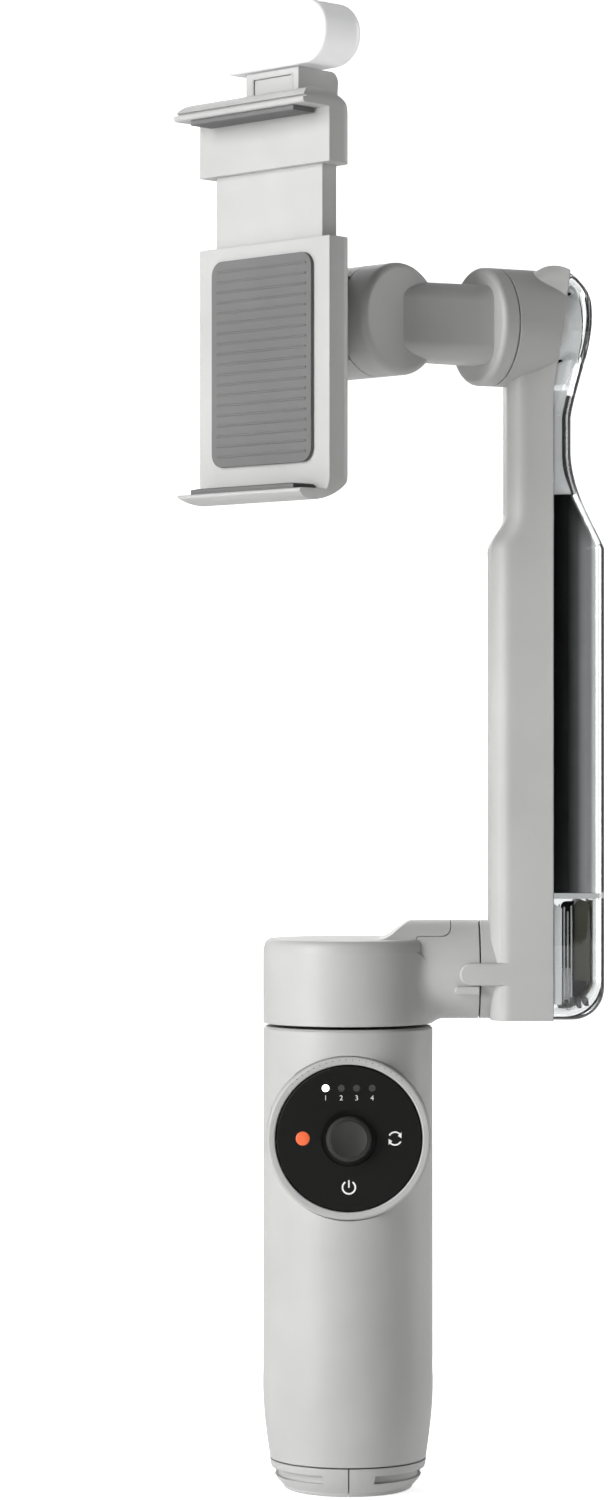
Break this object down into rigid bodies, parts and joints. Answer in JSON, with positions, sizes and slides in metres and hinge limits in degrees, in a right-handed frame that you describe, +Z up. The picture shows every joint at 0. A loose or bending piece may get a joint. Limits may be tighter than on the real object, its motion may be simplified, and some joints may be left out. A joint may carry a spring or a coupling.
{
  "type": "folding phone gimbal",
  "caption": "Folding three-axis handheld phone gimbal: round grip with thumb controls and pull-out tripod, pan drum, upright arm with clear back, tilting phone clamp and clip-on lamp.",
  "frame": {"origin": "centre of the foot's underside, on the pan axis", "axes": "+Z up along the grip and the pan axis, -Y is the side of the thumb controls, +X the side the neck and arm stand on"},
  "size_m": [0.0931, 0.071, 0.318],
  "materials": {
    "grey": "fine matt stone grey",
    "grey_satin": "satin stone grey",
    "black_gloss": "polished black",
    "black_soft": "soft black",
    "dark": "dark nylon",
    "tube": "anodised grey",
    "steel": "turned steel",
    "copper": "wound copper on laminations",
    "board": "solder-masked board",
    "foil": "wrapped cell",
    "clear": "clear moulded plastic",
    "ribbon": "flexible circuit",
    "olive": "dark olive nylon",
    "pad": "grey rubber",
    "white": "white satin",
    "diffuser": "opal diffuser",
    "light_dots": "light pipe"
  },
  "bodies": {
    "handle": {"handle_sleeve": "grey", "base_plug": "steel", "pole_outer_tube": "tube", "joystick_base": "dark", "control_board": "board", "dome_switches": "steel", "trigger_pin": "steel", "trigger_switch": "dark", "battery_cells": "foil", "usb_socket": "steel"},
    "tripod": {"tripod_leg_1": "grey", "tripod_leg_2": "grey", "tripod_leg_3": "grey", "tripod_hub": "dark", "tripod_pins": "steel"},
    "wheel": {"control_wheel": "grey_satin"},
    "cradle": {"rocker_cradle": "dark"},
    "disc": {"control_disc": "black_gloss", "panel_lights": "light_dots"},
    "stick_ring": {"joystick_ring": "dark"},
    "stick": {"joystick_cap": "black_soft"},
    "trigger": {"rear_trigger": "grey_satin"},
    "pole_1": {"pole_stage_1": "tube"},
    "pole_2": {"pole_stage_2": "tube"},
    "pole_3": {"pole_stage_3": "tube"},
    "pan_mount": {"pole_stage_4": "tube", "pan_base": "dark", "pan_stator": "copper", "pan_bearings": "steel"},
    "drum": {"drum_shell": "grey", "drum_lid": "grey", "pan_rotor": "steel", "fold_shaft": "steel"},
    "arm": {"arm_shell": "grey", "arm_cover": "clear", "arm_liner": "black_gloss", "arm_board": "board", "arm_ribbon": "ribbon", "arm_connectors": "olive", "roll_stator": "copper", "roll_bearings": "steel"},
    "roll_head": {"roll_link": "grey", "roll_rotor": "steel", "tilt_stator": "copper", "tilt_bearings": "steel"},
    "tilt_head": {"tilt_housing": "grey", "tilt_rotor": "steel"},
    "clamp": {"clamp_body": "grey", "clamp_springs": "steel", "lower_pad": "pad", "back_pad": "pad"},
    "high_jaw": {"upper_jaw": "grey", "upper_pad": "pad", "lamp_bracket": "grey"},
    "lamp": {"lamp_case": "white", "lamp_front": "diffuser", "lamp_board": "board"},
    "key": {"lamp_key": "grey_satin"}
  },
  "joints": [
    {"name": "tripod_slide", "type": "slide", "parent": "handle", "child": "tripod", "axis": [0, 0, -1], "range_m": [0, 0.048]},
    {"name": "wheel_turn", "type": "hinge", "parent": "handle", "child": "wheel", "pos_m": [0, -0.0165, 0.0778], "axis": [0, -1, 0], "continuous": true},
    {"name": "disc_rock_updown", "type": "hinge", "parent": "handle", "child": "cradle", "pos_m": [0, -0.0142, 0.0778], "axis": [1, 0, 0], "range_deg": [-1.5, 1.5]},
    {"name": "disc_rock_side", "type": "hinge", "parent": "cradle", "child": "disc", "pos_m": [0, -0.0142, 0.0778], "axis": [0, 0, 1], "range_deg": [-1.5, 1.5]},
    {"name": "joystick_updown", "type": "hinge", "parent": "handle", "child": "stick_ring", "pos_m": [0, -0.0139, 0.0778], "axis": [1, 0, 0], "range_deg": [-5, 5]},
    {"name": "joystick_side", "type": "hinge", "parent": "stick_ring", "child": "stick", "pos_m": [0, -0.0139, 0.0778], "axis": [0, 0, 1], "range_deg": [-5, 5]},
    {"name": "trigger_pull", "type": "hinge", "parent": "handle", "child": "trigger", "pos_m": [0, 0.0136, 0.0864], "axis": [-1, 0, 0], "range_deg": [0, 8]},
    {"name": "pole_slide_1", "type": "slide", "parent": "handle", "child": "pole_1", "axis": [0, 0, 1], "range_m": [0, 0.054]},
    {"name": "pole_slide_2", "type": "slide", "parent": "pole_1", "child": "pole_2", "axis": [0, 0, 1], "range_m": [0, 0.054]},
    {"name": "pole_slide_3", "type": "slide", "parent": "pole_2", "child": "pole_3", "axis": [0, 0, 1], "range_m": [0, 0.054]},
    {"name": "pole_slide_4", "type": "slide", "parent": "pole_3", "child": "pan_mount", "axis": [0, 0, 1], "range_m": [0, 0.054]},
    {"name": "pan", "type": "hinge", "parent": "pan_mount", "child": "drum", "pos_m": [0, 0, 0.11], "axis": [0, 0, 1], "range_deg": [-103, 255]},
    {"name": "arm_fold", "type": "hinge", "parent": "drum", "child": "arm", "pos_m": [0.0284, 0, 0.11335], "axis": [1, 0, 0], "range_deg": [-180, 0]},
    {"name": "roll", "type": "hinge", "parent": "arm", "child": "roll_head", "pos_m": [0.046, 0, 0.253], "axis": [-0.8988, -0.4384, 0], "range_deg": [-31, 210]},
    {"name": "tilt", "type": "hinge", "parent": "roll_head", "child": "tilt_head", "pos_m": [-0.00119, -0.01249, 0.253], "axis": [0.7071, -0.7071, 0], "range_deg": [-85, 45]},
    {"name": "clamp_pull_off", "type": "slide", "parent": "tilt_head", "child": "clamp", "axis": [-0.7071, -0.7071, 0], "range_m": [0, 0.02]},
    {"name": "jaw_slide", "type": "slide", "parent": "clamp", "child": "high_jaw", "axis": [0, 0, 1], "range_m": [-0.0136, 0.0064], "deforming": ["clamp_springs"]},
    {"name": "lamp_swivel", "type": "hinge", "parent": "high_jaw", "child": "lamp", "pos_m": [-0.01336, -0.03031, 0.3055], "axis": [0, 0, 1], "range_deg": [0, 180]},
    {"name": "lamp_key_press", "type": "slide", "parent": "high_jaw", "child": "key", "axis": [0.7071, 0.7071, 0], "range_m": [0, 0.0006]}
  ]
}
